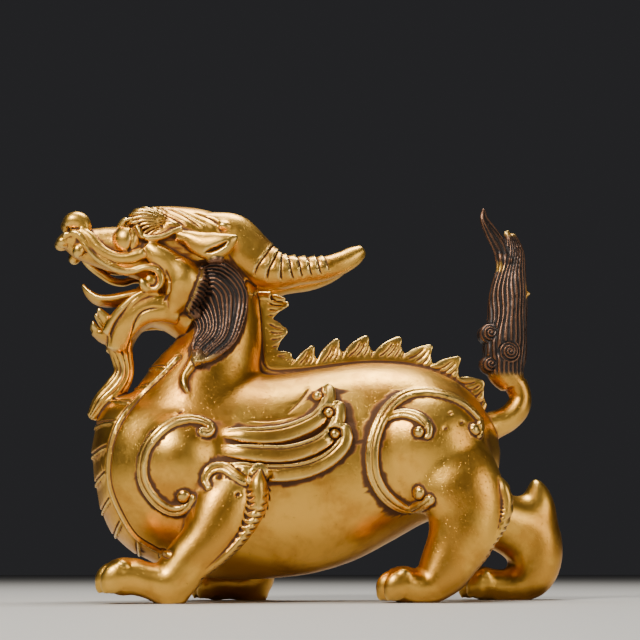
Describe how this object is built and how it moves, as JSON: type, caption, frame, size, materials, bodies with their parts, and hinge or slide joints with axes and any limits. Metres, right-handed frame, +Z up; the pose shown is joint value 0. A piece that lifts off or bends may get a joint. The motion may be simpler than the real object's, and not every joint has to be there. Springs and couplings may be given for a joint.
{
  "type": "mythical beast figure",
  "caption": "Gilt cast bronze figure of a crouching winged two-horned mythical beast with open mouth, toothed crest, scrolled flanks and an upright dark tail.",
  "frame": {"origin": "under the middle of the figure's box, level with the soles", "axes": "+Z up, the beast faces -X, its left flank is on the -Y side, and X is its longest extent"},
  "size_m": [0.1871, 0.0698, 0.1417],
  "materials": {
    "gilt_bronze": "worn fire gilding, satin, with brown patina in the recesses and blackened mane and tail tuft"
  },
  "bodies": {
    "root": {"mythical_beast": "gilt_bronze"}
  },
  "joints": []
}
